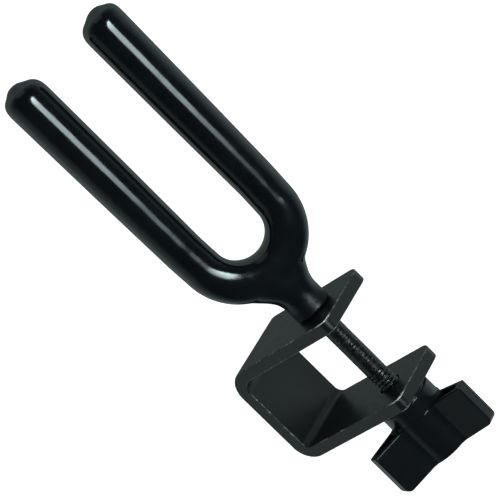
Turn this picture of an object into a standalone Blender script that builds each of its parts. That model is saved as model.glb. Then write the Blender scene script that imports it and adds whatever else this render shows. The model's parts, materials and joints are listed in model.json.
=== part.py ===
"""Clamp-on fork rest: a strap bracket that grips a square rail, and a coated two-tine fork
whose threaded stem runs through both arms of the bracket into a three-wing clamping knob.

Frame: metres, +Z along the stem towards the tines, +X out of the bracket's web towards the
free ends of its arms, origin at the middle of the web's inner face.
"""

import math

import bmesh
import bpy
from mathutils import Matrix, Vector

MM = 0.001
GAP = 0.3 * MM  # air left between pieces that touch on the real object
PAST = 1 * MM  # how far a cutter runs past the face it opens
NEAR = 1e-6  # two coordinates closer than this are the same

# Clamp bracket: 3/16 x 1-1/4 in flat bar bent into a C for a 1-1/4 in square rail.
STRAP_THICK = 4.95 * MM  # with its paint
STRAP_WIDE = 31.75 * MM
ARM_SPACE = 33.5 * MM
UPPER_REACH = 52.4 * MM
LOWER_REACH = 51.0 * MM
UPPER_BEND = 4.7 * MM
LOWER_BEND = 3.0 * MM
NEAR_CORNER = 3.0 * MM
FAR_CORNER = 5.0 * MM
STRAP_EDGE = 0.4 * MM
OUTER_STEPS, INNER_STEPS = 8, 6  # facets round each bend
STEM_HOLE_R = 4.4 * MM

# Stem: 5/16 in rod with an 18-per-inch thread on its lower half.
STEM_X = 37.2 * MM
STEM_R = 3.9 * MM
THREAD_PITCH = 25.4 / 18 * MM
THREAD_DEPTH = 0.61 * THREAD_PITCH
CREST_SLOPE, CREST_SHIFT = 1.35, 0.17  # cut the thread's crest and root flat
THREAD_SIDES, THREAD_ROWS = 18, 5  # points round the stem, and rows to a turn of the thread

# Heights up the stem, from the upper arm's top face.
ARM_TOP = ARM_SPACE / 2 + STRAP_THICK
STEM_TOP = ARM_TOP + 14.0 * MM
THREAD_TOP = ARM_TOP - 30.5 * MM
STEM_END = ARM_TOP - 66.0 * MM

# Fork: 1/2 in rod bent to a U, dipped in vinyl that runs thicker towards the tine tips.
FORK_TURN = math.radians(45)
ROD_R = 6.35 * MM
BEND_R = 17.2 * MM
BEND_Z = ARM_TOP + 38.4 * MM
ROD_TIP = ARM_TOP + 123.5 * MM
COAT_TIP_Z = ARM_TOP + 120.3 * MM

# Each tine above the bend, as (distance from the stem's axis, coat radius, height above the arm).
TINE_LINE = ((17.6, 7.55, 47.0), (17.8, 7.95, 80.0), (18.05, 8.25, 118.0))
COAT_BEND_R = 7.5 * MM

# Each tine's blunt end, as (radius, height above COAT_TIP_Z), and the drip's lean and stretch.
TIP_PROFILE = (
    (8.25, 0.0), (8.1, 2.1), (7.75, 3.7), (7.1, 5.0), (6.1, 6.0),
    (4.9, 6.6), (3.8, 7.2), (2.9, 7.75), (1.8, 8.2), (0.7, 8.35),
)
TIP_LEAN = (-0.7 * MM, 0.9 * MM)
TIP_STRETCH = (1.1, 1.0)

# Coated neck, as (half width along the fork, half depth, height above the upper arm's top face).
NECK_SIDES = 40
NECK_PROFILE = (
    (6.7, 6.7, 0.3), (7.1, 7.1, 0.5), (7.4, 7.4, 2.4), (7.3, 7.3, 5.6),
    (7.3, 7.1, 8.2), (8.1, 7.1, 11.0), (9.9, 7.0, 13.9), (13.2, 6.4, 17.4),
)
WELD_PROFILE = ((4.3, 7.4), (5.0, 8.2), (5.5, 11.0), (5.8, 15.6), (4.3, 17.4))

# Three-wing knob, its insert and its washer. Its edges are softened by KNOB_EDGE.
WASHER_R = 8.7 * MM
WASHER_THICK = 1.6 * MM
KNOB_TURN = math.radians(2)
WINGS = 3
KNOB_EDGE = 0.5 * MM
COLLAR_R = 10.85 * MM
COLLAR_EDGE = 0.5 * MM
COLLAR_SIDES = 48
COLLAR_ROOT = 2.0 * MM  # how deep the collar runs into the hub
HUB_R = 11.15 * MM
HUB_STEPS = 8  # facets of the hub between two wings
KNOB_TOP = -ARM_TOP - GAP - WASHER_THICK - GAP
WING_TOP = ARM_TOP - 51.6 * MM
KNOB_END = ARM_TOP - 69.6 * MM
WING_REACH = 24.1 * MM
WING_ROOT_HALF = 4.7 * MM
WING_TIP_HALF = 2.5 * MM
WING_FILLET = 2.6 * MM
WING_FOOT_R = 2.3 * MM
POCKET_WALL = 1.5 * MM
POCKET_DEEP = 13.0 * MM
POCKET_IN, POCKET_OUT = 1.2 * MM, 2.4 * MM  # wall left at the hub, and at the wing's tip
INSERT_R = 6.0 * MM
INSERT_LONG = 14.0 * MM
INSERT_BORE_R = STEM_R + 0.15 * MM
STEM_WELL = 1.5 * MM  # room under the stem's end in the knob

ROUND = 32  # sides on a full circle


def clear_scene():
    for obj in list(bpy.data.objects):
        bpy.data.objects.remove(obj, do_unlink=True)


def material(name, colour, roughness, metallic=0.0):
    made = bpy.data.materials.new(name)
    made.use_nodes = True
    shader = made.node_tree.nodes["Principled BSDF"]
    shader.inputs["Base Color"].default_value = (*colour, 1.0)
    shader.inputs["Roughness"].default_value = roughness
    shader.inputs["Metallic"].default_value = metallic
    return made


def pivot(name, location, turn):
    """An empty on a joint's axis, which the moving pieces are parented to."""
    empty = bpy.data.objects.new(name, None)
    empty.location = location
    empty.rotation_euler.z = turn
    bpy.context.scene.collection.objects.link(empty)
    return empty


def finish(name, bm, look=None, parent=None):
    """Turns a bmesh into a named object. Its coordinates are its parent's, or the world's."""
    bmesh.ops.recalc_face_normals(bm, faces=bm.faces[:])
    mesh = bpy.data.meshes.new(name)
    bm.to_mesh(mesh)
    bm.free()
    mesh.shade_smooth()
    mesh.set_sharp_from_angle(angle=math.radians(35))
    obj = bpy.data.objects.new(name, mesh)
    obj.parent = parent
    bpy.context.scene.collection.objects.link(obj)
    if look:
        mesh.materials.append(look)
    else:
        obj.hide_render = True
        obj.display_type = "WIRE"
    return obj


def boolean(obj, other, operation="DIFFERENCE"):
    cut = obj.modifiers.new(f"{operation.lower()} {other.name}", "BOOLEAN")
    cut.object = other
    cut.operation = operation


def soften(obj, width, segments=2, angle=40):
    bevel = obj.modifiers.new("soften", "BEVEL")
    bevel.width = width
    bevel.segments = segments
    bevel.limit_method = "ANGLE"
    bevel.angle_limit = math.radians(angle)
    bevel.harden_normals = False


def edges_where(bm, test):
    return [edge for edge in bm.edges if all(test(vert.co) for vert in edge.verts)]


def is_upright(edge):
    low, high = edge.verts
    return (low.co.xy - high.co.xy).length < NEAR


def round_off(bm, edges, radius):
    bmesh.ops.bevel(bm, geom=edges, offset=radius, segments=6, profile=0.5, affect="EDGES")


def circle_points(radius, z, count=ROUND, centre=(0.0, 0.0)):
    angles = [2 * math.pi * i / count for i in range(count)]
    return [Vector((centre[0] + radius * math.cos(a), centre[1] + radius * math.sin(a), z)) for a in angles]


def loft(bm, rings):
    """Skins a row of closed rings of equal length and caps both ends."""
    rows = [[bm.verts.new(point) for point in ring] for ring in rings]
    for low, high in zip(rows, rows[1:]):
        for i in range(len(low)):
            j = (i + 1) % len(low)
            bm.faces.new((low[i], low[j], high[j], high[i]))
    bm.faces.new(rows[0][::-1])
    bm.faces.new(rows[-1])


def lathe(profile, count=ROUND):
    """A solid of revolution about Z from (radius, height) pairs."""
    bm = bmesh.new()
    loft(bm, [circle_points(radius, z, count) for radius, z in profile])
    return bm


def tube(inner, outer, low, high, count=ROUND):
    bm = bmesh.new()
    section = ((inner, low), (outer, low), (outer, high), (inner, high))
    rows = [[bm.verts.new(point) for point in circle_points(radius, z, count)] for radius, z in section]
    for low_row, high_row in zip(rows, rows[1:] + rows[:1]):
        for i in range(count):
            j = (i + 1) % count
            bm.faces.new((low_row[i], low_row[j], high_row[j], high_row[i]))
    return bm


def arc(centre, radius, start, stop, steps):
    """Points (x, z) on an arc, with angles in degrees."""
    angles = [math.radians(start + (stop - start) * i / steps) for i in range(steps + 1)]
    return [(centre[0] + radius * math.cos(a), centre[1] + radius * math.sin(a)) for a in angles]


# ---- clamp bracket ---------------------------------------------------------------------


def strap_outline():
    """The bracket's C seen from the side: out along the lower arm, back round the inside."""
    inside, outside = ARM_SPACE / 2, ARM_TOP
    upper_out, lower_out = UPPER_BEND + STRAP_THICK, LOWER_BEND + STRAP_THICK
    outer = [(LOWER_REACH, -outside)]
    outer += arc((LOWER_BEND, -inside + LOWER_BEND), lower_out, -90, -180, OUTER_STEPS)
    outer += arc((UPPER_BEND, inside - UPPER_BEND), upper_out, 180, 90, OUTER_STEPS)
    outer += [(UPPER_REACH, outside), (UPPER_REACH, inside)]
    inner = arc((UPPER_BEND, inside - UPPER_BEND), UPPER_BEND, 90, 180, INNER_STEPS)
    inner += arc((LOWER_BEND, -inside + LOWER_BEND), LOWER_BEND, 180, 270, INNER_STEPS)
    inner += [(LOWER_REACH, -inside)]
    return outer + inner


def arm_end_edges(bm, side):
    """The short upright edges at the arms' free corners, on the side where y has this sign."""
    shortest = min(UPPER_REACH, LOWER_REACH) - 0.1 * MM
    ends = edges_where(bm, lambda at: at.x > shortest and at.y * side > STRAP_WIDE / 2 - 0.1 * MM)
    return [edge for edge in ends if is_upright(edge)]


def build_bracket():
    bm = bmesh.new()
    section = [bm.verts.new((x, -STRAP_WIDE / 2, z)) for x, z in strap_outline()]
    face = bm.faces.new(section)
    grown = bmesh.ops.extrude_face_region(bm, geom=[face])["geom"]
    moved = [item for item in grown if isinstance(item, bmesh.types.BMVert)]
    bmesh.ops.translate(bm, verts=moved, vec=(0, STRAP_WIDE, 0))
    for side, radius in ((-1, NEAR_CORNER), (1, FAR_CORNER)):
        round_off(bm, arm_end_edges(bm, side), radius)
    bracket = finish("clamp_bracket", bm, material("black_paint", (0.012, 0.012, 0.013), 0.42))
    hole = finish("stem_hole_cutter", lathe(((STEM_HOLE_R, -2 * ARM_TOP), (STEM_HOLE_R, 2 * ARM_TOP))))
    hole.location.x = STEM_X
    soften(bracket, STRAP_EDGE)
    boolean(bracket, hole)


# ---- fork ------------------------------------------------------------------------------


def fork_ring(centre_x, centre_z, lean, radius, count):
    """A ring round the fork's rod. lean is the rod's direction in the fork's XZ plane."""
    across = Vector((math.cos(lean), 0, -math.sin(lean)))
    ring = []
    for i in range(count):
        a = 2 * math.pi * i / count
        side = radius * math.cos(a) * across
        ring.append(Vector((centre_x, radius * math.sin(a), centre_z)) + side)
    return ring


def fork_bend_rings(radius, count, steps):
    """Rings round the half-turn at the foot of the U, from the -X tine to the +X tine."""
    rings = []
    for i in range(steps + 1):
        turn = math.pi * i / steps
        x = -BEND_R * math.cos(turn)
        z = BEND_Z - BEND_R * math.sin(turn)
        rings.append(fork_ring(x, z, math.pi - turn, radius, count))
    return rings


def tine_stations(side):
    """(x, coat radius, z) up one tine, in metres."""
    return [(side * x * MM, radius * MM, ARM_TOP + height * MM) for x, radius, height in TINE_LINE]


def fork_sweep(radius, tip, count=24, steps=20):
    """The bent rod as a plain solid of one radius with flat ends."""
    ends = {}
    for side, lean in ((-1, math.pi), (1, 0)):
        foot, *_, last = tine_stations(side)
        above_bend = fork_ring(foot[0], foot[2], lean, radius, count)
        ends[side] = [above_bend, fork_ring(last[0], tip, lean, radius, count)]
    bm = bmesh.new()
    loft(bm, ends[-1][::-1] + fork_bend_rings(radius, count, steps) + ends[1])
    return bm


def coated_tine_rings(side, lean, drip_lean, stretch):
    """Rings up one coated tine and its blunt end, whose drip leans off the tine's centre."""
    stations = tine_stations(side)
    rings = [fork_ring(x, z, lean, radius, ROUND) for x, radius, z in stations]
    tip_x = stations[-1][0]
    highest = TIP_PROFILE[-1][1]
    for radius, height in TIP_PROFILE:
        x = tip_x + drip_lean * (height / highest) ** 2
        rings.append(fork_ring(x, COAT_TIP_Z + height * stretch * MM, lean, radius * MM, ROUND))
    return rings


def coat_outside():
    """The vinyl's outer surface on tines and bend, without the neck."""
    left = coated_tine_rings(-1, math.pi, TIP_LEAN[0], TIP_STRETCH[0])
    right = coated_tine_rings(1, 0, TIP_LEAN[1], TIP_STRETCH[1])
    bm = bmesh.new()
    loft(bm, left[::-1] + fork_bend_rings(COAT_BEND_R, ROUND, 24) + right)
    return bm


def build_neck_shape(parent):
    """The coat's neck: round at the arm, and widening along the fork to meet the bend."""
    rings = []
    for wide, deep, height in NECK_PROFILE:
        circle = circle_points(1.0, ARM_TOP + height * MM, NECK_SIDES)
        rings.append([Vector((point.x * wide * MM, point.y * deep * MM, point.z)) for point in circle])
    bm = bmesh.new()
    loft(bm, rings)
    return finish("neck_shape", bm, parent=parent)


def weld_solid(grow=0.0):
    return lathe([(radius * MM + grow, ARM_TOP + height * MM) for radius, height in WELD_PROFILE])


def build_fork_coating(parent, rod_room):
    vinyl = material("black_vinyl", (0.008, 0.008, 0.009), 0.22)
    coat = finish("fork_coating", coat_outside(), vinyl, parent)
    weld_room = finish("weld_room_cutter", weld_solid(GAP), parent=parent)
    room_profile = ((STEM_R + GAP, 0), (STEM_R + GAP, STEM_TOP))
    stem_room = finish("stem_room_cutter", lathe(room_profile), parent=parent)
    boolean(coat, build_neck_shape(parent), "UNION")
    for cutter in (rod_room, weld_room, stem_room):
        boolean(coat, cutter)


def build_fork_rod(parent):
    steel = material("rod_steel", (0.35, 0.35, 0.36), 0.4, 1.0)
    finish("fork_rod", fork_sweep(ROD_R, ROD_TIP), steel, parent)


def build_neck_weld(parent, rod_room):
    """The fillet of weld that joins the stem's top to the foot of the U."""
    steel = material("weld_steel", (0.28, 0.27, 0.27), 0.55, 1.0)
    weld = finish("neck_weld", weld_solid(), steel, parent)
    bore_profile = ((STEM_R + GAP, 0), (STEM_R + GAP, STEM_TOP + GAP))
    bore = finish("weld_bore_cutter", lathe(bore_profile), parent=parent)
    boolean(weld, rod_room)
    boolean(weld, bore)


def thread_radius(z, phase):
    """The stem's radius where the helix has turned by phase, in turns, at height z."""
    slope = abs(2 * (phase % 1.0) - 1)
    crest = min(max(CREST_SLOPE * slope - CREST_SHIFT, 0.0), 1.0)
    run_out = min(max((THREAD_TOP - z) / THREAD_PITCH, 0.0), 1.0)
    radius = STEM_R - THREAD_DEPTH * (1 - crest) * run_out
    return min(radius, STEM_R - THREAD_DEPTH + max(z - STEM_END, 0.0))


def helix_sheet(bm, low, high, count, rows_per_turn):
    """An open threaded tube whose rows of points follow the helix, so its crests are clean."""
    rows = math.ceil((high - low) / THREAD_PITCH * rows_per_turn) + 2 * rows_per_turn
    grid = {}
    for row in range(rows + 1):
        for i in range(count):
            turn = i / count
            z = low + THREAD_PITCH * (row / rows_per_turn + turn - 1)
            radius = thread_radius(z, row / rows_per_turn)
            # A right-hand thread climbs as it turns anticlockwise seen from above.
            angle = 2 * math.pi * turn
            grid[row, i] = bm.verts.new((radius * math.cos(angle), radius * math.sin(angle), z))
    for row in range(rows):
        for i in range(count):
            wraps = i == count - 1
            if wraps and row + rows_per_turn + 1 > rows:
                continue
            step = rows_per_turn if wraps else 0
            j = (i + 1) % count
            corners = (grid[row, i], grid[row + step, j], grid[row + step + 1, j], grid[row + 1, i])
            bm.faces.new(corners)


def trim(bm, z, keep_above):
    """Cuts a tube square at height z and returns the new rim's edges."""
    cut = bmesh.ops.bisect_plane(
        bm,
        geom=bm.verts[:] + bm.edges[:] + bm.faces[:],
        dist=1e-7,
        plane_co=(0, 0, z),
        plane_no=(0, 0, 1),
        clear_inner=keep_above,
        clear_outer=not keep_above,
    )
    return [item for item in cut["geom_cut"] if isinstance(item, bmesh.types.BMEdge)]


def build_stem(parent):
    bm = bmesh.new()
    plain_from = THREAD_TOP + 0.5 * THREAD_PITCH
    helix_sheet(bm, STEM_END, plain_from, THREAD_SIDES, THREAD_ROWS)
    foot = trim(bm, STEM_END, keep_above=True)
    bmesh.ops.edgeloop_fill(bm, edges=foot)
    rim = trim(bm, plain_from, keep_above=False)
    grown = bmesh.ops.extrude_edge_only(bm, edges=rim)["geom"]
    raised = [item for item in grown if isinstance(item, bmesh.types.BMVert)]
    bmesh.ops.translate(bm, verts=raised, vec=(0, 0, STEM_TOP - plain_from))
    bmesh.ops.edgeloop_fill(bm, edges=[item for item in grown if isinstance(item, bmesh.types.BMEdge)])
    finish("stem_stud", bm, material("black_stem", (0.014, 0.015, 0.015), 0.34, 0.5), parent)


def build_fork():
    centre = pivot("fork_pivot", (STEM_X, 0, 0), FORK_TURN)
    rod_room = finish("rod_room_cutter", fork_sweep(ROD_R + GAP, ROD_TIP + GAP), parent=centre)
    build_fork_rod(centre)
    build_stem(centre)
    build_neck_weld(centre, rod_room)
    build_fork_coating(centre, rod_room)


# ---- washer and knob -------------------------------------------------------------------


def build_washer():
    high = -ARM_TOP - GAP
    bm = tube(STEM_HOLE_R, WASHER_R, high - WASHER_THICK, high)
    washer = finish("thrust_washer", bm, material("zinc_steel", (0.55, 0.55, 0.56), 0.35, 1.0))
    washer.location.x = STEM_X


def wing_corners(angle):
    """One wing's four corners in plan, from its clockwise root round its tip."""
    along = Vector((math.cos(angle), math.sin(angle)))
    across = Vector((-along.y, along.x))
    root = math.sqrt(HUB_R**2 - WING_ROOT_HALF**2)
    half_plan = ((root, WING_ROOT_HALF), (WING_REACH, WING_TIP_HALF))
    clockwise_side = [r * along - side * across for r, side in half_plan]
    far_side = [r * along + side * across for r, side in half_plan[::-1]]
    return clockwise_side + far_side


def knob_outline():
    """The knob in plan: its wings, with an arc of the hub between each pair."""
    points = []
    spread = math.asin(WING_ROOT_HALF / HUB_R)
    between = 2 * math.pi / WINGS
    for wing in range(WINGS):
        angle = wing * between
        points += wing_corners(angle)
        for i in range(1, HUB_STEPS):
            a = angle + spread + (between - 2 * spread) * i / HUB_STEPS
            points.append(HUB_R * Vector((math.cos(a), math.sin(a))))
    return points


def build_knob_shape():
    """Hub and wings as one prism, with rounded feet at the wing tips and filleted roots."""
    bm = bmesh.new()
    face = bm.faces.new([bm.verts.new((*point, KNOB_END)) for point in knob_outline()])
    grown = bmesh.ops.extrude_face_region(bm, geom=[face])["geom"]
    moved = [item for item in grown if isinstance(item, bmesh.types.BMVert)]
    bmesh.ops.translate(bm, verts=moved, vec=(0, 0, WING_TOP - KNOB_END))
    feet = edges_where(bm, lambda at: at.z < KNOB_END + NEAR and at.xy.length > WING_REACH - NEAR)
    round_off(bm, feet, WING_FOOT_R)
    root = math.sqrt(HUB_R**2 - WING_ROOT_HALF**2)
    corner = Vector((root, WING_ROOT_HALF)).length
    roots = [edge for edge in bm.edges if is_upright(edge) and is_wing_root(edge.verts[0].co, corner)]
    round_off(bm, roots, WING_FILLET)
    return bm


def is_wing_root(at, radius):
    """True on the line where a wing's side meets the hub."""
    if abs(at.xy.length - radius) > NEAR:
        return False
    spread = math.asin(WING_ROOT_HALF / HUB_R)
    between = 2 * math.pi / WINGS
    from_wing = (math.atan2(at.y, at.x) + between / 2) % between - between / 2
    return abs(abs(from_wing) - spread) < 1e-4


def pocket_cutter(parent):
    """The moulded hollows that open at the top of the wings."""
    bm = bmesh.new()
    start, stop = HUB_R + POCKET_IN, WING_REACH - POCKET_OUT
    slope = (WING_ROOT_HALF - WING_TIP_HALF) / (WING_REACH - HUB_R)
    for wing in range(WINGS):
        turn = Matrix.Rotation(2 * math.pi * wing / WINGS, 3, "Z")
        halves = [WING_ROOT_HALF - POCKET_WALL - slope * (r - HUB_R) for r in (start, stop)]
        plan = ((start, -halves[0]), (stop, -halves[1]), (stop, halves[1]), (start, halves[0]))
        heights = (WING_TOP - POCKET_DEEP, WING_TOP + PAST)
        loft(bm, [[turn @ Vector((x, y, z)) for x, y in plan] for z in heights])
    return finish("wing_pocket_cutter", bm, parent=parent)


def build_knob_body(parent):
    plastic = material("black_plastic", (0.01, 0.01, 0.011), 0.3)
    body = finish("knob_body", build_knob_shape(), plastic, parent)
    collar_foot = (COLLAR_R, WING_TOP - COLLAR_ROOT)
    collar_profile = (collar_foot, (COLLAR_R, KNOB_TOP - COLLAR_EDGE), (COLLAR_R - COLLAR_EDGE, KNOB_TOP))
    collar = finish("collar_shape", lathe(collar_profile, COLLAR_SIDES), parent=parent)
    insert_low = KNOB_TOP - INSERT_LONG - GAP
    well = ((STEM_R + 2 * GAP, STEM_END - STEM_WELL), (STEM_R + 2 * GAP, insert_low))
    seat = ((INSERT_R + GAP, insert_low), (INSERT_R + GAP, KNOB_TOP + PAST))
    soften(body, KNOB_EDGE)
    boolean(body, collar, "UNION")
    boolean(body, pocket_cutter(parent))
    boolean(body, finish("insert_seat_cutter", lathe(well + seat), parent=parent))


def build_knob_insert(parent):
    bm = tube(INSERT_BORE_R, INSERT_R, KNOB_TOP - INSERT_LONG, KNOB_TOP)
    finish("knob_insert", bm, material("brass", (0.6, 0.42, 0.16), 0.3, 1.0), parent)


def build_knob():
    centre = pivot("knob_pivot", (STEM_X, 0, 0), KNOB_TURN)
    build_knob_body(centre)
    build_knob_insert(centre)


clear_scene()
build_bracket()
build_fork()
build_washer()
build_knob()
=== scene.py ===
"""Looks for the clamp-on fork rest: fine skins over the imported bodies, a pale floor and soft studio light.

The object's lengths are in millimetres until they go into a mesh, which is in metres in the row frame.
The studio's lengths are in metres.
"""

import json
import math

import bmesh
import bpy
from mathutils import Matrix, Vector, noise


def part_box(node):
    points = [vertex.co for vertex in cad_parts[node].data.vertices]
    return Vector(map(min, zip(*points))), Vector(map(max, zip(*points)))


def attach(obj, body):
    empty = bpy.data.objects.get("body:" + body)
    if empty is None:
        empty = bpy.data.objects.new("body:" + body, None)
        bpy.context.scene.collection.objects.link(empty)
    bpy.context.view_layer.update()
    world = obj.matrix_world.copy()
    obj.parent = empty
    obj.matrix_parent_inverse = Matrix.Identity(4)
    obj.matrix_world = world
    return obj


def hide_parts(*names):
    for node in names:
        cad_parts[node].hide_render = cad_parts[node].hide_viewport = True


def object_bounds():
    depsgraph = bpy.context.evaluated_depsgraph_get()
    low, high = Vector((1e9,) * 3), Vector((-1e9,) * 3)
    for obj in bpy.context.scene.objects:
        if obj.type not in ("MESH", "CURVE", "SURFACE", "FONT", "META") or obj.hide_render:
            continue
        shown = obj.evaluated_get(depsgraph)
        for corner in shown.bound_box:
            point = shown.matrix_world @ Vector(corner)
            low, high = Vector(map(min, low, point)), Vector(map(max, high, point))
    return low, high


MM = 0.001
GAP = 0.3  # air between two pieces that touch on the real object
PAST = 1.0  # how far a cutter runs past the face it opens
SAME = 0.001  # two coordinates closer than this are the same

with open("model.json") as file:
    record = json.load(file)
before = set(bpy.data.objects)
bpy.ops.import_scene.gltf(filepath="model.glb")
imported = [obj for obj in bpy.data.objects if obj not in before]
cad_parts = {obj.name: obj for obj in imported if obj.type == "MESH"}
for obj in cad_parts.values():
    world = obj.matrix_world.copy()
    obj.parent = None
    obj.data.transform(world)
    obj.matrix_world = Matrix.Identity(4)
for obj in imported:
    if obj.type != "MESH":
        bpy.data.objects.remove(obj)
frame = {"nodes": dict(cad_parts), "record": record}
cad_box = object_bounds()
joints = {joint["name"]: joint for joint in frame["record"]["behaviour"]["joints"]}


def span(node):
    """A CAD node's box as two lists, in millimetres."""
    low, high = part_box(node)
    return [value / MM for value in low], [value / MM for value in high]


STRAP_LOW, STRAP_HIGH = span("clamp_bracket")
WASHER_LOW, WASHER_HIGH = span("thrust_washer")
STEM_LOW, STEM_HIGH = span("stem_stud")
KNOB_LOW, KNOB_HIGH = span("knob_body")

TRAVEL = joints["knob_travel"]["range_m"][1] / MM
ARM_TOP = STRAP_HIGH[2]
STEM_X = (WASHER_LOW[0] + WASHER_HIGH[0]) / 2
HALF_WIDE = STRAP_HIGH[1]

# Clamp bracket
STRAP_THICK = -STRAP_LOW[0]
UPPER_REACH = STRAP_HIGH[0]
LOWER_REACH = 51.0
UPPER_BEND, LOWER_BEND = 4.7, 3.0
NEAR_CORNER, FAR_CORNER = 3.0, 5.0
STRAP_EDGE, STRAP_EDGE_STEPS = 0.4, 3
STEM_HOLE_R = 4.4
OUTER_STEPS, INNER_STEPS, CORNER_STEPS = 24, 20, 14
BORE_SIDES = 72

# Stem
STEM_R = 3.9
PITCH = 25.4 / 18  # 18 turns to the inch
THREAD_DEPTH = 0.61 * PITCH  # as on any outside thread cut at 60 degrees
THREAD_TOP = ARM_TOP - 30.5
CREST_SLOPE, CREST_SHIFT = 1.35, 0.17  # these cut the thread's crest and root flat
# The coating fills the top of the thread down to here, and leaves this share of its depth.
COATING_FILLS, FILLED_DEPTH = 3.3, 0.2
# The coating's mean surface lies this far inside the stem's radius; then the heights of its unevenness.
COATING_UNDER = 0.13
LUMP, RIDGE, RIPPLE = 0.05, 0.02, 0.018
# Scale of the unevenness round the stem and along it, and of the smaller lumps against the larger.
LUMP_ROUND, LUMP_ALONG, SMALLER = 2.2, 0.55, 2.7
RIPPLE_ROUND, RIPPLE_ALONG = 5.0, 1.3
# How far under the stem's radius the crests begin to shine, and where they shine fully; and the fade upwards.
CREST_SHINE, SHINE_FADE = (0.16, 0.03), 0.5
STEM_SIDES, STEM_ROW = 60, 0.16

# Fork, in its own upright plane: x along the fork from the stem's axis, y across it
FORK_TURN = math.radians(45)
ROD_R = 6.35
BEND_R = 17.2
# The bend's section grows square from its ends inwards, and most where the bend lies flattest.
BEND_SQUARE, SQUARE_RISE, FLAT_EXTRA = 2.6, 2.5, 1.2
FLAT_FROM, FLAT_OVER = 0.45, 0.35
BEND_Z = ARM_TOP + 38.4
ROD_TIP = ARM_TOP + 123.5
COAT_TIP_Z = ARM_TOP + 120.3
# Distance off the stem's axis, the coat's radius there, and height over the arm.
TINE_LINE = ((17.2, 7.5, 38.4), (17.6, 7.55, 47.0), (17.8, 7.95, 80.0), (18.05, 8.25, 120.3))
# The coat's end, from its full radius up to its drip nib: radius, and height over COAT_TIP_Z.
TIP_PROFILE = (
    (8.25, 0.0), (8.2, 2.1), (7.9, 3.7), (7.2, 5.0), (6.15, 6.0),
    (4.9, 6.6), (3.8, 7.2), (2.9, 7.75), (1.8, 8.2), (0.7, 8.35),
)
# For each tine, how far its nib is set over, and how much its end is stretched.
TIP_LEAN = (-0.7, 0.9)
TIP_STRETCH = (1.1, 1.0)
# Half width along the fork, half depth, height over the arm, how square the section is (2 is an ellipse), and
# how far it is set over along the fork.
NECK_PROFILE = (
    (7.0, 7.0, 0.3, 2.0, 0), (7.45, 7.4, 0.5, 2.0, 0), (7.5, 7.4, 1.0, 2.0, 0),
    (7.3, 7.2, 1.6, 2.0, 0), (7.3, 7.2, 5.6, 2.1, 0), (7.3, 7.2, 8.2, 2.3, 0),
    (8.1, 7.25, 11.0, 2.5, -0.1), (9.9, 7.3, 13.9, 2.7, -0.4), (12.6, 7.4, 17.4, 2.8, -1.0),
    (12.6, 7.4, 20.5, 3.2, -0.4), (11.8, 7.3, 24.0, 3.6, 0), (10.6, 7.0, 26.6, 3.6, 0),
)
WELD_PROFILE = ((4.3, 7.4), (5.0, 8.2), (5.5, 11.0), (5.8, 15.6), (4.3, 17.4))
COAT_SIDES, BEND_STEPS = 64, 40
ROD_SIDES, ROD_BEND_STEPS = 32, 28
NECK_SIDES, ROOM_SIDES = 96, 48
# The coat is remeshed and relaxed all over, and more in the web, between these heights over the arm.
VOXEL = 0.45
RELAX_ROUNDS, BLEND_ROUNDS = 9, 24
WEB_SPAN, WEB_FADE = (5.0, 24.0), (3.0, 8.0)
FOOT_RINGS = (3.0, 9.0)  # the rings at the coat's foot fade out between these heights over the arm

# Knob
KNOB_TURN = math.radians(2)
WINGS = 3
KNOB_EDGE, KNOB_EDGE_STEPS = 0.5, 4
COLLAR_R, COLLAR_EDGE = 10.85, 0.5
COLLAR_ROOT, COLLAR_STEPS, COLLAR_SIDES = 2.0, 5, 120
HUB_R = 11.15
KNOB_TOP = KNOB_HIGH[2]
KNOB_END = KNOB_LOW[2]
WING_TOP = ARM_TOP - 51.6
WING_REACH = 24.1
WING_ROOT_HALF, WING_TIP_HALF = 4.7, 2.5
WING_FOOT_R, WING_FOOT_STEPS = 2.3, 10
FILLET_R, FILLET_STEPS = 4.2, 12
HUB_STEPS = 14
POCKET_WALL, POCKET_DEEP = 1.5, 13.0
POCKET_IN, POCKET_OUT = 1.2, 2.4
INSERT_R, INSERT_LONG = 6.0, 14.0
WELL_DEEP = 1.5  # how far the bore runs on under the stem's end
WASHER_EDGE = 0.22


# ---- meshes ----------------------------------------------------------------------------


def to_object(name, bm, turn=0.0, at_stem=True, sharp=35):
    """A bmesh in millimetres, round the stem's axis or the origin, becomes an object in the row frame."""
    place = Matrix.Rotation(turn, 4, "Z")
    if at_stem:
        place = Matrix.Translation((STEM_X, 0, 0)) @ place
    bm.transform(Matrix.Scale(MM, 4) @ place)
    bmesh.ops.recalc_face_normals(bm, faces=bm.faces[:])
    mesh = bpy.data.meshes.new(name)
    bm.to_mesh(mesh)
    bm.free()
    mesh.shade_smooth()
    mesh.set_sharp_from_angle(angle=math.radians(sharp))
    obj = bpy.data.objects.new(name, mesh)
    bpy.context.scene.collection.objects.link(obj)
    return obj


def boolean(obj, other, operation="DIFFERENCE"):
    cut = obj.modifiers.new(operation.lower(), "BOOLEAN")
    cut.object = other
    cut.operation = operation


def soften(obj, width, segments, angle=38, slot=-1):
    """Rounds the edges sharper than the angle. The new faces take the material slot named, if one is."""
    bevel = obj.modifiers.new("soften", "BEVEL")
    bevel.material = slot
    bevel.width = width * MM
    bevel.segments = segments
    bevel.limit_method = "ANGLE"
    bevel.angle_limit = math.radians(angle)


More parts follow.
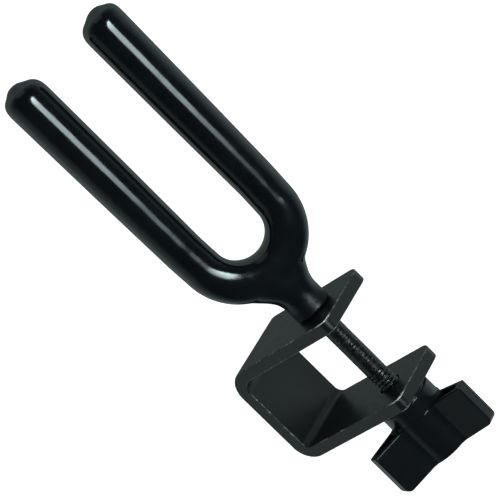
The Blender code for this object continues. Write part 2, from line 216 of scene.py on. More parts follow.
def settle(obj, *helpers, sharp=35, flat_faces=False):
    """Applies the modifiers, and removes the helper objects they used.

    With flat_faces, a large face keeps its own normal right up to the rounding beside it.
    """
    bpy.context.view_layer.update()
    made = bpy.data.meshes.new_from_object(obj.evaluated_get(bpy.context.evaluated_depsgraph_get()))
    obj.modifiers.clear()
    obj.data = made
    made.shade_smooth()
    made.set_sharp_from_angle(angle=math.radians(sharp))
    if flat_faces:
        weigh = obj.modifiers.new("flat_faces", "WEIGHTED_NORMAL")
        weigh.mode = "FACE_AREA"
        weigh.weight = 100
        weigh.keep_sharp = True
    for helper in helpers:
        bpy.data.objects.remove(helper, do_unlink=True)


def dress(obj, looks, body, node):
    """Gives a piece its looks, lets it ride on a body, and puts it in place of a CAD node."""
    for i, look in enumerate(looks):
        if i < len(obj.data.materials):
            obj.data.materials[i] = look
        else:
            obj.data.materials.append(look)
    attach(obj, body)
    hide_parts(node)


def edges_where(bm, test):
    return [edge for edge in bm.edges if all(test(vert.co) for vert in edge.verts)]


def is_upright(edge):
    low, high = edge.verts
    return (low.co.xy - high.co.xy).length < SAME


def round_off(bm, edges, radius, segments):
    bmesh.ops.bevel(bm, geom=edges, offset=radius, segments=segments, profile=0.5, affect="EDGES")


def circle(radius, z, count):
    angles = [2 * math.pi * i / count for i in range(count)]
    return [Vector((radius * math.cos(a), radius * math.sin(a), z)) for a in angles]


def loft(bm, rings, capped=True):
    rows = [[bm.verts.new(point) for point in ring] for ring in rings]
    for low, high in zip(rows, rows[1:]):
        for i in range(len(low)):
            j = (i + 1) % len(low)
            bm.faces.new((low[i], low[j], high[j], high[i]))
    if capped:
        bm.faces.new(rows[0][::-1])
        bm.faces.new(rows[-1])


def lathe(profile, count=96):
    bm = bmesh.new()
    loft(bm, [circle(radius, z, count) for radius, z in profile])
    return bm


def ring_lathe(section, count=96):
    """A ring turned from a closed section of (radius, height) pairs."""
    bm = bmesh.new()
    rows = [[bm.verts.new(point) for point in circle(radius, z, count)] for radius, z in section]
    for low, high in zip(rows, rows[1:] + rows[:1]):
        for i in range(count):
            j = (i + 1) % count
            bm.faces.new((low[i], low[j], high[j], high[i]))
    return bm


def arc(centre, radius, start, stop, steps):
    angles = [math.radians(start + (stop - start) * i / steps) for i in range(steps + 1)]
    return [(centre[0] + radius * math.cos(a), centre[1] + radius * math.sin(a)) for a in angles]


# ---- clamp bracket ---------------------------------------------------------------------


def strap_outline():
    inside, outside = ARM_TOP - STRAP_THICK, ARM_TOP
    outer = [(LOWER_REACH, -outside)]
    outer += arc((LOWER_BEND, LOWER_BEND - inside), LOWER_BEND + STRAP_THICK, -90, -180, OUTER_STEPS)
    outer += arc((UPPER_BEND, inside - UPPER_BEND), UPPER_BEND + STRAP_THICK, 180, 90, OUTER_STEPS)
    outer += [(UPPER_REACH, outside), (UPPER_REACH, inside)]
    inner = arc((UPPER_BEND, inside - UPPER_BEND), UPPER_BEND, 90, 180, INNER_STEPS)
    inner += arc((LOWER_BEND, LOWER_BEND - inside), LOWER_BEND, 180, 270, INNER_STEPS)
    return outer + inner + [(LOWER_REACH, -inside)]


def build_bracket():
    bm = bmesh.new()
    face = bm.faces.new([bm.verts.new((x, -HALF_WIDE, z)) for x, z in strap_outline()])
    grown = bmesh.ops.extrude_face_region(bm, geom=[face])["geom"]
    moved = [item for item in grown if isinstance(item, bmesh.types.BMVert)]
    bmesh.ops.translate(bm, verts=moved, vec=(0, 2 * HALF_WIDE, 0))
    shortest = min(UPPER_REACH, LOWER_REACH) - SAME
    for side, radius in ((-1, NEAR_CORNER), (1, FAR_CORNER)):
        ends = edges_where(bm, lambda at: at.x > shortest and at.y * side > HALF_WIDE - SAME)
        round_off(bm, [edge for edge in ends if is_upright(edge)], radius, CORNER_STEPS)
    bracket = to_object("bracket_strap", bm, at_stem=False)
    cut = ((STEM_HOLE_R, -2 * ARM_TOP), (STEM_HOLE_R, 2 * ARM_TOP))
    hole = to_object("hole_cutter", lathe(cut, BORE_SIDES))
    boolean(bracket, hole)
    # Slot 0 is for the faces, and slot 1 for the worn edges, with a painted highlight at the near corners.
    bracket.data.materials.append(None)
    bracket.data.materials.append(None)
    soften(bracket, STRAP_EDGE, STRAP_EDGE_STEPS, slot=1)
    settle(bracket, hole, flat_faces=True)
    return bracket


# ---- fork coating ----------------------------------------------------------------------


def squarer(turn, square):
    """A point of a unit circle, moved out towards the corners. A square of 2 leaves it where it is."""
    x, y = math.cos(turn), math.sin(turn)
    return math.copysign(abs(x) ** (2 / square), x), math.copysign(abs(y) ** (2 / square), y)


def fork_ring(x, z, lean, radius, count, square=2.0):
    across = Vector((math.cos(lean), 0, -math.sin(lean)))
    points = [squarer(2 * math.pi * i / count, square) for i in range(count)]
    return [Vector((x, radius * deep, z)) + radius * wide * across for wide, deep in points]


def bend_rings(radius, count, steps, square=2.0):
    rings = []
    for i in range(steps + 1):
        turn = math.pi * i / steps
        centre = (-BEND_R * math.cos(turn), BEND_Z - BEND_R * math.sin(turn))
        flat = min(max((math.sin(turn) - FLAT_FROM) / FLAT_OVER, 0.0), 1.0)
        here = 2 + (square - 2) * (min(SQUARE_RISE * math.sin(turn), 1.0) + FLAT_EXTRA * flat)
        rings.append(fork_ring(*centre, math.pi - turn, radius, count, here))
    return rings


def rod_sweep(radius, tip):
    """The bent rod, or the room it needs, up to the height of its tips."""
    (foot_x, _, foot_z), (top_x, _, _) = TINE_LINE[1], TINE_LINE[-1]
    line = ((top_x, tip), (foot_x, ARM_TOP + foot_z))
    left = [fork_ring(-x, z, math.pi, radius, ROD_SIDES) for x, z in line]
    right = [fork_ring(x, z, 0, radius, ROD_SIDES) for x, z in line[::-1]]
    bm = bmesh.new()
    loft(bm, left + bend_rings(radius, ROD_SIDES, ROD_BEND_STEPS) + right)
    return bm


def coat_blank():
    """The coat's outside without its neck: both tines, each with its drip nib, and the bend."""
    tines = []
    for side, lean, drip, stretch in zip((-1, 1), (math.pi, 0), TIP_LEAN, TIP_STRETCH):
        rings = [
            fork_ring(side * x, ARM_TOP + z, lean, radius, COAT_SIDES) for x, radius, z in TINE_LINE[1:]
        ]
        for radius, height in TIP_PROFILE[1:]:
            x = side * TINE_LINE[-1][0] + drip * (height / TIP_PROFILE[-1][1]) ** 2
            rings.append(fork_ring(x, COAT_TIP_Z + height * stretch, lean, radius, COAT_SIDES))
        tines.append(rings)
    bend = bend_rings(TINE_LINE[0][1], COAT_SIDES, BEND_STEPS, BEND_SQUARE)
    bm = bmesh.new()
    loft(bm, tines[0][::-1] + bend + tines[1])
    return bm


def neck_blank():
    bm = bmesh.new()
    rings = []
    for wide, deep, height, square, over in NECK_PROFILE:
        points = [squarer(2 * math.pi * i / NECK_SIDES, square) for i in range(NECK_SIDES)]
        rings.append([Vector((over + x * wide, y * deep, ARM_TOP + height)) for x, y in points])
    loft(bm, rings)
    return bm


def build_coat():
    coat = to_object("fork_coat", coat_blank(), FORK_TURN)
    neck = to_object("neck_blank", neck_blank(), FORK_TURN)
    boolean(coat, neck, "UNION")
    remesh = coat.modifiers.new("skin", "REMESH")
    remesh.mode = "VOXEL"
    remesh.voxel_size = VOXEL * MM
    settle(coat, neck, sharp=80)
    web = coat.vertex_groups.new(name="web")
    for vert in coat.data.vertices:
        height = vert.co.z / MM - ARM_TOP
        from_foot, from_top = height - WEB_SPAN[0], WEB_SPAN[1] - height
        weight = min(from_foot / WEB_FADE[0], from_top / WEB_FADE[1], 1.0)
        if weight > 0:
            web.add([vert.index], weight, "REPLACE")
    relax = coat.modifiers.new("relax", "SMOOTH")
    relax.iterations = RELAX_ROUNDS
    blend = coat.modifiers.new("blend", "SMOOTH")
    blend.iterations = BLEND_ROUNDS
    blend.vertex_group = web.name
    settle(coat, sharp=80)
    rod_room = to_object("rod_room", rod_sweep(ROD_R + GAP, ROD_TIP + GAP), FORK_TURN)
    weld = [(r + GAP, ARM_TOP + z) for r, z in WELD_PROFILE]
    weld_room = to_object("weld_room", lathe(weld, ROOM_SIDES))
    stem = ((STEM_R + GAP, 0), (STEM_R + GAP, STEM_HIGH[2]))
    stem_room = to_object("stem_room", lathe(stem, ROOM_SIDES))
    for room in (rod_room, weld_room, stem_room):
        boolean(coat, room)
    settle(coat, rod_room, weld_room, stem_room, sharp=50)
    return coat


# ---- stem ------------------------------------------------------------------------------


def stem_radius(z, turn):
    """The stem's radius at height z and angle turn, in turns.

    Low down it is a clean thread. Above that it is a lumpy coating, which also fills the thread's top turns.
    """
    phase = (z / PITCH - turn) % 1.0
    slope = abs(2 * phase - 1)
    crest = min(max(CREST_SLOPE * slope - CREST_SHIFT, 0.0), 1.0)
    under_top = THREAD_TOP - z
    clean = FILLED_DEPTH * min(max(under_top / PITCH, 0.0), 1.0)
    clean += (1 - FILLED_DEPTH) * min(max((under_top - COATING_FILLS) / PITCH, 0.0), 1.0)
    root = STEM_R - THREAD_DEPTH * (1 - crest)
    a = 2 * math.pi * turn
    spot = Vector((LUMP_ROUND * math.cos(a), LUMP_ROUND * math.sin(a), z * LUMP_ALONG))
    lumps = noise.noise(spot) + 0.5 * noise.noise(spot * SMALLER)
    spot = Vector((RIPPLE_ROUND * math.cos(a), RIPPLE_ROUND * math.sin(a), z * RIPPLE_ALONG))
    filled = STEM_R - COATING_UNDER + LUMP * lumps + RIPPLE * noise.noise(spot)
    filled -= RIDGE * (1 - crest) * (1 + 2 * lumps)
    return min(clean * root + (1 - clean) * filled, STEM_R)


def build_stem():
    bm = bmesh.new()
    low, high = STEM_LOW[2], STEM_HIGH[2]
    rows = round((high - low) / STEM_ROW)
    rings = []
    for row in range(rows + 1):
        z = low + (high - low) * row / rows
        chamfer = STEM_R - THREAD_DEPTH + (z - low)
        ring = []
        for i in range(STEM_SIDES):
            radius = min(stem_radius(z, i / STEM_SIDES), chamfer)
            a = 2 * math.pi * i / STEM_SIDES
            ring.append(Vector((radius * math.cos(a), radius * math.sin(a), z)))
        rings.append(ring)
    loft(bm, rings)
    return to_object("threaded_stem", bm, FORK_TURN, sharp=60)


# ---- washer and knob -------------------------------------------------------------------


def build_washer():
    """A stamped washer: chamfered bore, nearly sharp lower rim and a rolled upper rim."""
    inner, outer = STEM_HOLE_R, (WASHER_HIGH[0] - WASHER_LOW[0]) / 2
    low, high = WASHER_LOW[2], WASHER_HIGH[2]
    edge = WASHER_EDGE
    section = [(inner, low + edge), (inner + edge, low)]
    section += [(outer - edge, low), (outer - 0.3 * edge, low + 0.3 * edge)]
    section += [(outer, low + edge), (outer, high - 2 * edge), (outer - 0.6 * edge, high - 0.6 * edge)]
    section += [(outer - 2 * edge, high), (inner + edge, high), (inner, high - edge)]
    return to_object("stamped_washer", ring_lathe(section))


def wing_side():
    """The wing's far side in plan with the fillet at its root: points from the tip in to the hub's circle."""
    start = Vector((math.sqrt(HUB_R**2 - WING_ROOT_HALF**2), WING_ROOT_HALF))
    tip = Vector((WING_REACH, WING_TIP_HALF))
    along = (tip - start).normalized()
    outward = Vector((-along.y, along.x))
    # The fillet's centre lies FILLET_R off the side and HUB_R + FILLET_R off the axis.
    base = start + outward * FILLET_R
    half, rest = base.dot(along), base.length_squared - (HUB_R + FILLET_R) ** 2
    centre = base + along * (-half + math.sqrt(half * half - rest))
    foot = centre - outward * FILLET_R
    from_side = math.atan2(foot.y - centre.y, foot.x - centre.x)
    from_hub = math.atan2(-centre.y, -centre.x)
    points = [tip]
    for i in range(FILLET_STEPS + 1):
        a = from_side + (from_hub - from_side) * i / FILLET_STEPS
        points.append(centre + FILLET_R * Vector((math.cos(a), math.sin(a))))
    return points


def knob_outline():
    """The knob in plan, anticlockwise: each wing, then the hub's arc to the next one."""
    side = wing_side()
    reached = math.atan2(side[-1].y, side[-1].x)
    between = 2 * math.pi / WINGS
    points = []
    for wing in range(WINGS):
        turn = Matrix.Rotation(wing * between, 2)
        points += [turn @ Vector((p.x, -p.y)) for p in side[::-1]] + [turn @ p for p in side]
        for i in range(1, HUB_STEPS):
            a = wing * between + reached + (between - 2 * reached) * i / HUB_STEPS
            points.append(HUB_R * Vector((math.cos(a), math.sin(a))))
    return points


def knob_prism():
    bm = bmesh.new()
    face = bm.faces.new([bm.verts.new((*point, KNOB_END)) for point in knob_outline()])
    grown = bmesh.ops.extrude_face_region(bm, geom=[face])["geom"]
    moved = [item for item in grown if isinstance(item, bmesh.types.BMVert)]
    bmesh.ops.translate(bm, verts=moved, vec=(0, 0, WING_TOP - KNOB_END))
    tip_length = math.hypot(WING_REACH, WING_TIP_HALF)
    feet = edges_where(bm, lambda at: at.z < KNOB_END + SAME and at.xy.length > tip_length - SAME)
    round_off(bm, feet, WING_FOOT_R, WING_FOOT_STEPS)
    return bm


def pockets():
    bm = bmesh.new()
    start, stop = HUB_R + POCKET_IN, WING_REACH - POCKET_OUT
    slope = (WING_ROOT_HALF - WING_TIP_HALF) / (WING_REACH - HUB_R)
    for wing in range(WINGS):
        turn = Matrix.Rotation(2 * math.pi * wing / WINGS, 3, "Z")
        halves = [WING_ROOT_HALF - POCKET_WALL - slope * (r - HUB_R) for r in (start, stop)]
        plan = ((start, -halves[0]), (stop, -halves[1]), (stop, halves[1]), (start, halves[0]))
        levels = (WING_TOP - POCKET_DEEP, WING_TOP + PAST)
        loft(bm, [[turn @ Vector((x, y, z)) for x, y in plan] for z in levels])
    return bm


def build_knob():
    knob = to_object("wing_knob", knob_prism(), KNOB_TURN)
    edge = arc((COLLAR_R - COLLAR_EDGE, KNOB_TOP - COLLAR_EDGE), COLLAR_EDGE, 0, 90, COLLAR_STEPS)
    collar = to_object("collar", lathe([(COLLAR_R, WING_TOP - COLLAR_ROOT)] + edge, COLLAR_SIDES))
    cutter = to_object("pocket_cutter", pockets(), KNOB_TURN)
    seat_low = KNOB_TOP - INSERT_LONG - GAP
    well_r, seat_r = STEM_R + 2 * GAP, INSERT_R + GAP
    seat = (
        (well_r, STEM_LOW[2] - WELL_DEEP), (well_r, seat_low), (seat_r, seat_low), (seat_r, KNOB_TOP + PAST),
    )
    bore = to_object("bore_cutter", lathe(seat, BORE_SIDES))
    soften(knob, KNOB_EDGE, KNOB_EDGE_STEPS)
    boolean(knob, collar, "UNION")
    boolean(knob, cutter)
    boolean(knob, bore)
    settle(knob, collar, cutter, bore, flat_faces=True)
    return knob


# ---- materials -------------------------------------------------------------------------

RAMP_KEYS = ("From Min", "From Max", "To Min", "To Max")
WORN_AND_GLINT_SPOT = (2.5, 6.0)  # full wear and painted highlight within the first distance of a corner, none from the second on


def add_node(tree, kind, **settings):
    made = tree.nodes.new(kind)
    for key, value in settings.items():
        setattr(made, key, value)
    return made


def add_ramp(tree, source, values, **settings):
    """Maps source from the first two values onto the last two, held at both ends."""
    made = add_node(tree, "ShaderNodeMapRange", **settings)
    tree.links.new(source, made.inputs["Value"])
    for key, value in zip(RAMP_KEYS, values):
        made.inputs[key].default_value = value
    return made.outputs["Result"]


class Look:
    """A node material with short ways to add and join its nodes."""

    def __init__(self, name):
        self.material = bpy.data.materials.new(name)
        self.material.use_nodes = True
        self.tree = self.material.node_tree
        self.shader = self.tree.nodes["Principled BSDF"]
        self.place = self.add("ShaderNodeTexCoord").outputs["Object"]

    def add(self, kind, **settings):
        return add_node(self.tree, kind, **settings)

    def link(self, source, target):
        self.tree.links.new(source, target)

    def put(self, target, value):
        """Sets a socket to a number, a colour or another node's output."""
        if isinstance(value, bpy.types.NodeSocket):
            self.link(value, target)
        elif isinstance(value, (tuple, list)) and len(value) == 3 and target.type == "RGBA":
            target.default_value = (*value, 1.0)
        else:
            target.default_value = value

    def noise(self, scale, detail=3.0, roughness=0.55, stretch=(1, 1, 1)):
        mapping = self.add("ShaderNodeMapping")
        mapping.inputs["Scale"].default_value = stretch
        self.link(self.place, mapping.inputs["Vector"])
        made = self.add("ShaderNodeTexNoise")
        self.link(mapping.outputs[0], made.inputs["Vector"])
        for key, value in (("Scale", scale), ("Detail", detail), ("Roughness", roughness)):
            made.inputs[key].default_value = value
        return made.outputs["Fac"]

    def ramp(self, source, low, high, first=0.0, last=1.0):
        return add_ramp(self.tree, source, (low, high, first, last))

    def math(self, operation, first, second=0.0):
        made = self.add("ShaderNodeMath", operation=operation)
        self.put(made.inputs[0], first)
        self.put(made.inputs[1], second)
        return made.outputs[0]

    def mix(self, factor, first, second):
        made = self.add("ShaderNodeMix", data_type="RGBA")
        # Inputs 6 and 7 and output 2 are this node's colours.
        self.put(made.inputs["Factor"], factor)
        self.put(made.inputs[6], first)
        self.put(made.inputs[7], second)
        return made.outputs[2]

    def bump(self, height, distance, under=None):
        """Bends the normal by a height map of this depth in millimetres, on top of another bump if given."""
        made = self.add("ShaderNodeBump")
        made.inputs["Strength"].default_value = 1.0
        made.inputs["Distance"].default_value = distance * MM
        self.link(height, made.inputs["Height"])
        if under:
            self.link(under, made.inputs["Normal"])
        return made.outputs["Normal"]

    def height(self):
        parts = self.add("ShaderNodeSeparateXYZ")
        self.link(self.place, parts.inputs[0])
        return parts.outputs["Z"]

    def radius(self, axis_x):
        """Distance from the upright axis at this x, given in millimetres."""
        moved = self.add("ShaderNodeVectorMath", operation="SUBTRACT")
        self.link(self.place, moved.inputs[0])
        moved.inputs[1].default_value = (axis_x * MM, 0, 0)
        flat = self.add("ShaderNodeVectorMath", operation="MULTIPLY")
        self.link(moved.outputs[0], flat.inputs[0])
        flat.inputs[1].default_value = (1, 1, 0)
        length = self.add("ShaderNodeVectorMath", operation="LENGTH")
        self.link(flat.outputs[0], length.inputs[0])
        return length.outputs["Value"]

    def near(self, spot, full, none):
        """1 within the first distance of a place given in millimetres, 0 from the second on."""
        away = self.add("ShaderNodeVectorMath", operation="DISTANCE")
        self.link(self.place, away.inputs[0])
        away.inputs[1].default_value = [value * MM for value in spot]
        return self.ramp(away.outputs["Value"], full * MM, none * MM, 1.0, 0.0)

    def set(self, **values):
        for key, value in values.items():
            self.put(self.shader.inputs[key.replace("_", " ")], value)
        return self.material


def vinyl_look():
    """Glossy black dipped vinyl, duller and ringed near its foot."""
    look = Look("dipped_vinyl")
    cloud = look.noise(90, 2.0)
    peel = look.noise(900, 2.0)
    waves = look.noise(130, 1.0, stretch=(1, 1, 0.6))
    colour = look.mix(look.ramp(cloud, 0.35, 0.7), (0.0031, 0.0042, 0.0056), (0.0052, 0.0068, 0.0086))
    rings = look.noise(560, 3.0, 0.6, stretch=(0.5, 0.5, 3.0))
    low, high = [(ARM_TOP + height) * MM for height in FOOT_RINGS]
    foot = look.ramp(look.height(), low, high, 1.0, 0.0)
    rings = look.math("MULTIPLY", rings, foot)
    normal = look.bump(waves, 0.10)
    normal = look.bump(peel, 0.006, normal)
    normal = look.bump(rings, 0.10, normal)
    rough = look.ramp(look.noise(260, 4.0), 0.35, 0.7, 0.10, 0.17)
    rough = look.math("ADD", rough, look.math("MULTIPLY", foot, 0.25))
    shine = look.ramp(foot, 0.0, 1.0, 0.5, 0.34)
    look.set(Specular_IOR_Level=shine, Specular_Tint=(0.92, 0.985, 1.0))
    return look.set(Base_Color=colour, Roughness=rough, Normal=normal, IOR=1.5)


def paint_look(is_edge):
    """Satin black paint with a fine lengthways grain, or the chipped paint of the strap's edges, with a
    painted highlight at the near free corners.
    """
    look = Look("worn_and_glinting_paint_edge" if is_edge else "black_paint")
    cloud = look.noise(70, 4.0)
    grain = look.noise(2600, 3.0)
    lines = look.noise(2400, 3.0, 0.6, stretch=(0.05, 1.0, 1.0))
    colour = look.mix(look.ramp(cloud, 0.3, 0.7), (0.0040, 0.0044, 0.0044), (0.0065, 0.0071, 0.0070))
    rough = look.ramp(look.noise(300, 5.0), 0.3, 0.7, 0.31, 0.38)
    normal = look.bump(lines, 0.004)
    normal = look.bump(grain, 0.008, normal)
    if is_edge:
        specks = look.ramp(look.noise(1500, 4.0, 0.65), 0.46, 0.60, 0.05, 1.0)
        chips_and_glint = look.math("MULTIPLY", specks, look.ramp(look.noise(160, 2.0), 0.42, 0.66, 0.03, 0.4))
        bare_and_glint = look.math("ADD", specks, 0.5)
        # The near free corners get a light colour: partly worn paint, partly a painted highlight standing in
        # for their glint.
        for reach, height in ((UPPER_REACH, ARM_TOP), (LOWER_REACH, STRAP_THICK - ARM_TOP)):
            spot = look.near((reach, -HALF_WIDE, height), *WORN_AND_GLINT_SPOT)
            chips_and_glint = look.math("MAXIMUM", chips_and_glint, look.math("MULTIPLY", spot, bare_and_glint))
        colour = look.mix(chips_and_glint, colour, (0.80, 0.78, 0.74))
        look.set(Metallic=look.math("MULTIPLY", chips_and_glint, 0.4))
        rough = look.math("ADD", rough, look.math("MULTIPLY", chips_and_glint, 0.12))
    return look.set(Base_Color=colour, Roughness=rough, Normal=normal)


def stem_look():
    """A black coating, with lighter metal flecks here and there and along the thread's crests: partly bare
    metal, partly painted glints.
    """
    look = Look("black_coated_thread")
    patch = look.noise(900, 4.0)
    glint = look.ramp(look.noise(1500, 3.0), 0.60, 0.72)
    bare_from = THREAD_TOP - COATING_FILLS
    in_thread = look.ramp(look.height(), (bare_from - SHINE_FADE) * MM, bare_from * MM, 1.0, 0.0)
    low, high = [(STEM_R - under) * MM for under in CREST_SHINE]
    crest = look.ramp(look.radius(STEM_X), low, high)
    crest = look.math("MULTIPLY", crest, look.ramp(patch, 0.32, 0.48, 0.3, 1.0))
    glint = look.math("MAXIMUM", glint, look.math("MULTIPLY", crest, in_thread))
    colour = look.mix(look.ramp(patch, 0.35, 0.7), (0.0035, 0.0040, 0.0041), (0.0080, 0.0088, 0.0088))
    # Painted glints: the flecks and crests are mixed towards a light metal grey, partly standing for bare
    # metal.
    colour = look.mix(glint, colour, (0.13, 0.145, 0.148))
    rough = look.ramp(patch, 0.3, 0.7, 0.18, 0.32)
    normal = look.bump(look.noise(1100, 3.0), 0.028)
    metallic = look.math("MULTIPLY", glint, 0.6)
    return look.set(Base_Color=colour, Roughness=rough, Normal=normal, Metallic=metallic)


def plastic_look():
    """Glossy black moulded plastic with a faint flow pattern."""
    look = Look("moulded_plastic")
    cloud = look.noise(110, 3.0)
    colour = look.mix(look.ramp(cloud, 0.3, 0.7), (0.0047, 0.0060, 0.0074), (0.0070, 0.0088, 0.0107))
    grain = look.noise(2600, 2.0)
    flow = look.noise(200, 2.0)
    normal = look.bump(flow, 0.02)
    normal = look.bump(grain, 0.003, normal)
    rough = look.ramp(look.noise(350, 4.0), 0.3, 0.7, 0.09, 0.15)
    return look.set(Base_Color=colour, Roughness=rough, Normal=normal, IOR=1.46)


def metal_look(name, dark, light, rough, scale, stretch=(1, 1, 1)):
    """Bare or plated metal: a cloudy tint, fine tool lines and uneven roughness."""
    look = Look(name)
    colour = look.mix(look.ramp(look.noise(scale, 4.0), 0.3, 0.7), dark, light)
    lines = look.noise(scale * 6, 5.0, 0.7, stretch)
    rough = look.ramp(lines, 0.3, 0.7, rough[0], rough[1])
    return look.set(Base_Color=colour, Roughness=rough, Metallic=1.0, Normal=look.bump(lines, 0.01))


# ---- studio ----------------------------------------------------------------------------

# The camera's angles from the object, its place and its lens give the photograph's view.
AZIMUTH, ELEVATION, ROLL = math.radians(45.777), math.radians(12.344), math.radians(-45.284)
CAMERA_AT = Vector((0.66865, -0.61599, 0.24591))
LENS = 187.8
ROOM_TINT = (0.83, 1.0, 1.0)
KEY_TINT = (0.88, 1.0, 1.02)
KEY_AZIMUTH = 19.5
KEY_DISTANCE = 1.5
# The panel's corners from its foot round to its left side: metres to the right of its middle, and height.
KEY_SHAPE = (
    (-0.10, -0.275), (0.10, -0.275), (0.335, -0.19), (0.38, 0.42),
    (0.02, 0.42), (-0.30, 0.02), (-0.335, -0.19),
)
# Its radiance grows by the first number a metre up from its foot, and no further than the second.
KEY_SLOPE, KEY_RADIANCE = 52.0, 22.0
# Name, angle from the camera's azimuth, elevation, distance, width, height, strength and tint.
SOFTBOXES = (
    ("overhead", 0, 82, 0.9, 0.5, 0.5, 0.3, (1.0, 1.0, 1.0)),
    ("left_fill", -79, -6, 1.2, 0.62, 1.2, 0.10, ROOM_TINT),
    ("right_fill", 88, -8, 1.2, 0.5, 1.2, 0.09, ROOM_TINT),
)
SOFTBOX_AIM = Vector((37.2, 0, 60)) * MM
# Ramps on the cosine of the angle from a direction: the cosine's two ends, and the room's strength at each.
ROOM_FALL = (0.65, -0.75, 0.045, 0.66)  # from the camera's direction
ROOM_DIM = (0.41, 0.98, 1.0, 0.28)  # a share of that, from the direction straight behind the object
BEHIND_ELEVATION = math.radians(5)
FLOOR_SIZE = 8.0
FLOOR_GAP = 0.5  # millimetres under the knob's lowest place


def view_axes(azimuth, elevation, roll=0.0):
    """Right, up and back for something at these angles from the object that looks at it."""
    level = Vector((math.cos(azimuth), math.sin(azimuth), 0))
    flat = math.cos(elevation)
    back = Vector((math.sin(azimuth) * flat, -math.cos(azimuth) * flat, math.sin(elevation)))
    upright = back.cross(level)
    right = math.cos(roll) * level + math.sin(roll) * upright
    up = -math.sin(roll) * level + math.cos(roll) * upright
    return right, up, back


def add_camera():
    data = bpy.data.cameras.new("camera")
    data.lens = LENS
    data.sensor_width = 36.0
    data.clip_start, data.clip_end = 0.01, 50.0
    camera = bpy.data.objects.new("camera", data)
    turn = Matrix(view_axes(AZIMUTH, ELEVATION, ROLL)).transposed()
    camera.matrix_world = Matrix.Translation(CAMERA_AT) @ turn.to_4x4()
    bpy.context.scene.collection.objects.link(camera)
    bpy.context.scene.camera = camera


def add_softbox(name, azimuth, elevation, distance, wide, tall, strength, tint):
    """A soft rectangular light that stands at an angle from the camera's azimuth and faces the object."""
    data = bpy.data.lights.new(name, "AREA")
    data.shape = "RECTANGLE"
    data.size, data.size_y = wide, tall
    data.energy = strength * wide * tall * math.pi
    data.color = tint
    light = bpy.data.objects.new(name, data)
    right, up, back = view_axes(AZIMUTH + math.radians(azimuth), math.radians(elevation))
    place = Matrix.Translation(SOFTBOX_AIM + back * distance)
    light.matrix_world = place @ Matrix((right, up, back)).transposed().to_4x4()
    light.visible_camera = False
    bpy.context.scene.collection.objects.link(light)


def add_world():
    """White for the camera, and a tinted room for reflections.

    The room is dim by the camera and bright behind the object, but less so straight behind it.
    """
    world = bpy.data.worlds.new("studio")
    bpy.context.scene.world = world
    world.use_nodes = True
    tree = world.node_tree
    seen = tree.nodes["Background"]
    seen.inputs["Color"].default_value = (1, 1, 1, 1)
    seen.inputs["Strength"].default_value = 1.0
    direction = add_node(tree, "ShaderNodeTexCoord").outputs["Generated"]

    def along(axis):
        """How nearly the direction looked in is this one, as a cosine."""
        dot = add_node(tree, "ShaderNodeVectorMath", operation="DOT_PRODUCT")
        dot.inputs[1].default_value = axis
        tree.links.new(direction, dot.inputs[0])
        return dot.outputs["Value"]

    toward = along(view_axes(AZIMUTH, ELEVATION)[2])
    behind = along(view_axes(AZIMUTH + math.pi, BEHIND_ELEVATION)[2])
    fall = add_ramp(tree, toward, ROOM_FALL, interpolation_type="SMOOTHERSTEP")
    dim = add_ramp(tree, behind, ROOM_DIM, interpolation_type="SMOOTHSTEP")
    level = add_node(tree, "ShaderNodeMath", operation="MULTIPLY")
    tree.links.new(fall, level.inputs[0])
    tree.links.new(dim, level.inputs[1])
    felt = add_node(tree, "ShaderNodeBackground")
    felt.inputs["Color"].default_value = (*ROOM_TINT, 1)
    tree.links.new(level.outputs[0], felt.inputs["Strength"])
    mix = add_node(tree, "ShaderNodeMixShader")
    tree.links.new(add_node(tree, "ShaderNodeLightPath").outputs["Is Camera Ray"], mix.inputs["Fac"])
    tree.links.new(felt.outputs[0], mix.inputs[1])
    tree.links.new(seen.outputs[0], mix.inputs[2])
    tree.links.new(mix.outputs[0], tree.nodes["World Output"].inputs["Surface"])


def add_key_panel():
    """A lit panel in front and to the right that fades out towards its foot.

    The tines' long highlights are its reflection.
    """
    right, up, back = view_axes(AZIMUTH + math.radians(KEY_AZIMUTH), 0.0)
    centre = Vector((STEM_X * MM, 0, 0)) + back * KEY_DISTANCE
    bm = bmesh.new()
    bm.faces.new([bm.verts.new(centre + right * x + up * z) for x, z in KEY_SHAPE])
    mesh = bpy.data.meshes.new("key_panel")
    bm.to_mesh(mesh)
    bm.free()
    panel = bpy.data.objects.new("key_panel", mesh)
    bpy.context.scene.collection.objects.link(panel)
    material = bpy.data.materials.new("key_panel")
    material.use_nodes = True
    tree = material.node_tree
    tree.nodes.clear()
    place = add_node(tree, "ShaderNodeSeparateXYZ")
    tree.links.new(add_node(tree, "ShaderNodeNewGeometry").outputs["Position"], place.inputs[0])
    foot = KEY_SHAPE[0][1]
    full = foot + KEY_RADIANCE / KEY_SLOPE
    level = add_ramp(tree, place.outputs["Z"], (foot, full, 0.0, KEY_RADIANCE))
    emission = add_node(tree, "ShaderNodeEmission")
    emission.inputs["Color"].default_value = (*KEY_TINT, 1)
    tree.links.new(level, emission.inputs["Strength"])
    output = add_node(tree, "ShaderNodeOutputMaterial")
    tree.links.new(emission.outputs[0], output.inputs["Surface"])
    mesh.materials.append(material)
    panel.visible_camera = False


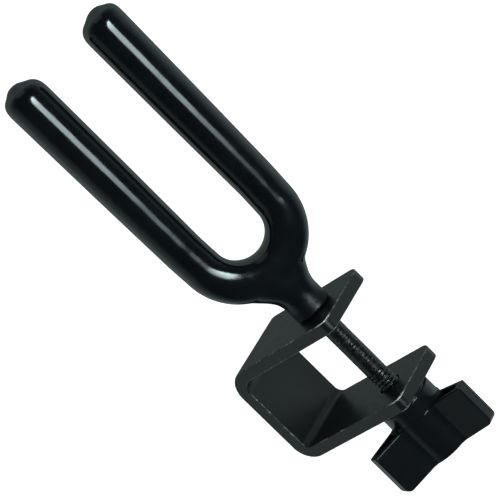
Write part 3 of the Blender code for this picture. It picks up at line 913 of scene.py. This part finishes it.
def add_floor():
    """A white floor just under the knob's lowest place. It shows only from above, so it hides nothing."""
    bm = bmesh.new()
    bmesh.ops.create_grid(bm, x_segments=2, y_segments=2, size=FLOOR_SIZE)
    mesh = bpy.data.meshes.new("floor")
    bm.to_mesh(mesh)
    bm.free()
    floor = bpy.data.objects.new("floor", mesh)
    floor.location.z = cad_box[0].z - (TRAVEL + FLOOR_GAP) * MM
    bpy.context.scene.collection.objects.link(floor)
    look = Look("pale_floor")
    look.set(Base_Color=(0.9, 0.9, 0.9), Roughness=0.7, Specular_IOR_Level=0.1)
    look.put(look.shader.inputs["Emission Color"], (1.0, 1.0, 1.0))
    look.put(look.shader.inputs["Emission Strength"], 1.0)
    seen = look.add("ShaderNodeMixShader")
    look.link(look.add("ShaderNodeNewGeometry").outputs["Backfacing"], seen.inputs["Fac"])
    look.link(look.shader.outputs[0], seen.inputs[1])
    look.link(look.add("ShaderNodeBsdfTransparent").outputs[0], seen.inputs[2])
    look.link(seen.outputs[0], look.tree.nodes["Material Output"].inputs["Surface"])
    mesh.materials.append(look.material)
    floor.visible_glossy = False
    floor.visible_shadow = False
    floor.visible_diffuse = False


# ---- the object ------------------------------------------------------------------------

dress(build_bracket(), [paint_look(False), paint_look(True)], "bracket", "clamp_bracket")
dress(build_coat(), [vinyl_look()], "fork", "fork_coating")
dress(build_stem(), [stem_look()], "fork", "stem_stud")
zinc = metal_look("zinc_plate", (0.42, 0.43, 0.45), (0.62, 0.63, 0.64), (0.22, 0.40), 300)
dress(build_washer(), [zinc], "washer", "thrust_washer")
dress(build_knob(), [plastic_look()], "knob", "knob_body")

# These three stay inside the others, and keep their CAD shapes.
STEEL = ((0.30, 0.30, 0.31), (0.42, 0.42, 0.43), (0.30, 0.50))
WELD = ((0.18, 0.17, 0.17), (0.34, 0.33, 0.32), (0.40, 0.65))
BRASS = ((0.50, 0.34, 0.12), (0.66, 0.47, 0.20), (0.20, 0.38))
HIDDEN_METALS = {
    "fork_rod": metal_look("rod_steel", *STEEL, 120, (1, 1, 0.1)),
    "neck_weld": metal_look("weld_steel", *WELD, 500),
    "knob_insert": metal_look("insert_brass", *BRASS, 400, (1, 1, 6)),
}
for node, look in HIDDEN_METALS.items():
    obj = frame["nodes"][node]
    obj.data.materials.clear()
    obj.data.materials.append(look)

add_camera()
add_world()
add_floor()
add_key_panel()
for box in SOFTBOXES:
    add_softbox(*box)
bpy.context.scene.view_settings.view_transform = "Standard"
